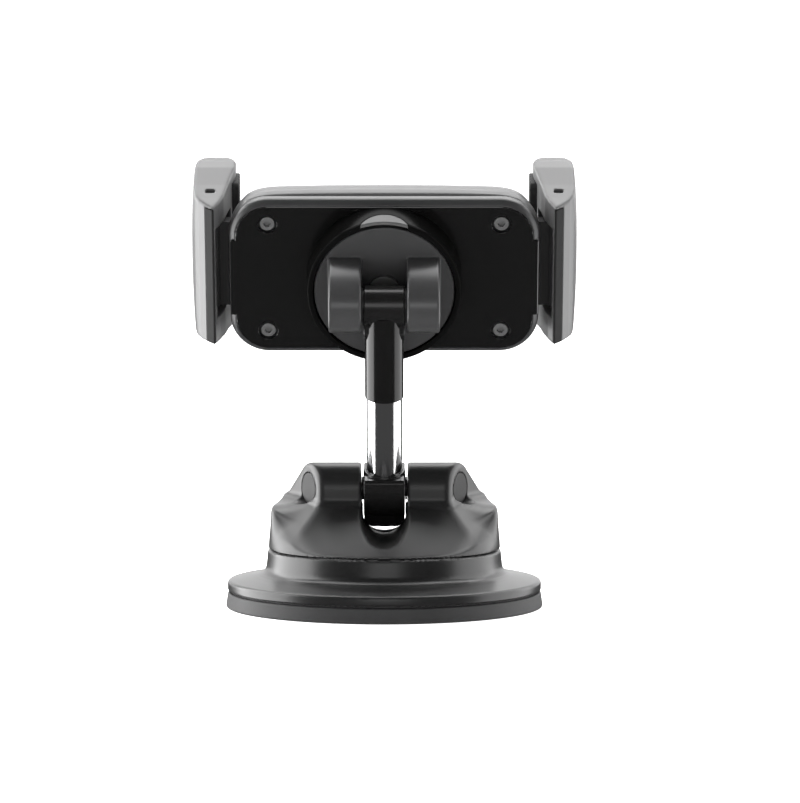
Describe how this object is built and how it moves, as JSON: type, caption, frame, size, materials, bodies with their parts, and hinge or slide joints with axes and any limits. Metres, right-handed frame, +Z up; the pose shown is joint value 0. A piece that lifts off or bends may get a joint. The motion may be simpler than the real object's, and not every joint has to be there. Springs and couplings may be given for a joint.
{
  "type": "car phone mount",
  "caption": "Dashboard phone mount: lever suction base, hinged telescopic arm, tilting swivel disc and a cradle with paired side arms.",
  "frame": {"origin": "on the base's axis at the bottom of the suction cup's lip", "axes": "+Z up, +Y towards the phone side, X across the cradle along both hinge axes"},
  "size_m": [0.0986, 0.0802, 0.1127],
  "materials": {
    "cup_rubber": "matt",
    "base_plastic": "satin moulded",
    "screw_steel": "satin zinc",
    "pin_steel": "ground",
    "cap_plastic": "satin",
    "washer_plastic": "satin",
    "lever_plastic": "satin moulded",
    "knuckle_plastic": "satin",
    "tube_chrome": "polished",
    "sleeve_metal": "gloss black",
    "disc_plastic": "satin",
    "housing_plastic": "satin",
    "cover_plastic": "satin",
    "panel_gloss": "high gloss",
    "shell_plastic": "satin",
    "pad_rubber": "matt",
    "gear_plastic": "natural acetal",
    "button_silver": "satin silver",
    "slider_plastic": "satin",
    "strip_plastic": "satin"
  },
  "bodies": {
    "base": {"suction_cup": "cup_rubber", "base_flange": "base_plastic", "turret_housing": "base_plastic", "base_screws": "screw_steel", "lower_hinge_pin": "pin_steel", "hinge_cap_left": "cap_plastic", "hinge_cap_right": "cap_plastic", "lower_washers": "washer_plastic", "cam_plate": "pin_steel"},
    "stem": {"pull_stem": "pin_steel", "cup_boss": "cup_rubber", "lever_pin": "pin_steel"},
    "lever": {"lock_lever": "lever_plastic"},
    "arm_lower": {"lower_knuckle": "knuckle_plastic", "chrome_tube": "tube_chrome", "tube_guide": "washer_plastic"},
    "arm_upper": {"arm_sleeve": "sleeve_metal", "upper_knuckle": "knuckle_plastic"},
    "swivel": {"swivel_disc": "disc_plastic", "upper_hinge_pin": "pin_steel", "upper_washers": "washer_plastic", "swivel_bolt": "screw_steel", "friction_washer": "washer_plastic", "spring_washer": "pin_steel", "swivel_nut": "pin_steel"},
    "cradle": {"swivel_housing": "housing_plastic", "rear_cover": "cover_plastic", "rear_panel": "panel_gloss", "cover_screws": "screw_steel", "front_shell": "shell_plastic", "front_pad": "pad_rubber"},
    "button": {"release_button": "button_silver"},
    "pinion_body": {"pinion": "gear_plastic"},
    "left_arm": {"left_slider": "slider_plastic", "left_arm_shell": "shell_plastic", "left_arm_strip": "strip_plastic", "left_pad": "pad_rubber", "left_arm_screws": "screw_steel"},
    "right_arm": {"right_slider": "slider_plastic", "right_arm_shell": "shell_plastic", "right_arm_strip": "strip_plastic", "right_pad": "pad_rubber", "right_arm_screws": "screw_steel"}
  },
  "joints": [
    {"name": "base_tilt", "type": "hinge", "parent": "base", "child": "arm_lower", "pos_m": [0, 0, 0.03], "axis": [1, 0, 0], "range_deg": [-60, 55]},
    {"name": "arm_extend", "type": "slide", "parent": "arm_lower", "child": "arm_upper", "axis": [0, -0.3305, 0.9438], "range_m": [-0.0075, 0.0055]},
    {"name": "head_tilt", "type": "hinge", "parent": "arm_upper", "child": "swivel", "pos_m": [0, -0.01656, 0.07728], "axis": [-1, 0, 0], "range_deg": [-65, 7]},
    {"name": "head_turn", "type": "hinge", "parent": "swivel", "child": "cradle", "pos_m": [0, -0.00926, 0.08031], "axis": [0, -0.9239, -0.3827], "continuous": true},
    {"name": "arm_drive", "type": "hinge", "parent": "cradle", "child": "pinion_body", "pos_m": [0, 0.00737, 0.0872], "axis": [0, -0.9239, -0.3827], "range_deg": [-18, 150]},
    {"name": "left_arm_slide", "type": "slide", "parent": "cradle", "child": "left_arm", "axis": [-1, 0, 0], "range_m": [-0.0014, 0.0117]},
    {"name": "right_arm_slide", "type": "slide", "parent": "cradle", "child": "right_arm", "axis": [1, 0, 0], "range_m": [-0.0014, 0.0117]},
    {"name": "release_press", "type": "slide", "parent": "cradle", "child": "button", "axis": [0, 0.3827, -0.9239], "range_m": [0, 0.0008], "stiffness_N_per_m": 900, "springref_m": -0.0008},
    {"name": "cup_pull", "type": "slide", "parent": "base", "child": "stem", "axis": [0, 0, -1], "range_m": [0, 0.00199]},
    {"name": "lever_turn", "type": "hinge", "parent": "stem", "child": "lever", "pos_m": [0, 0, 0.0124], "axis": [1, 0, 0], "range_deg": [0, 50]}
  ],
  "couplings": [
    {"joint": "arm_drive", "follows": "left_arm_slide", "rad_per_m": 222.22},
    {"joint": "right_arm_slide", "follows": "left_arm_slide", "ratio": 1},
    {"joint": "lever_turn", "follows": "cup_pull", "rad_per_m": 436.34}
  ]
}
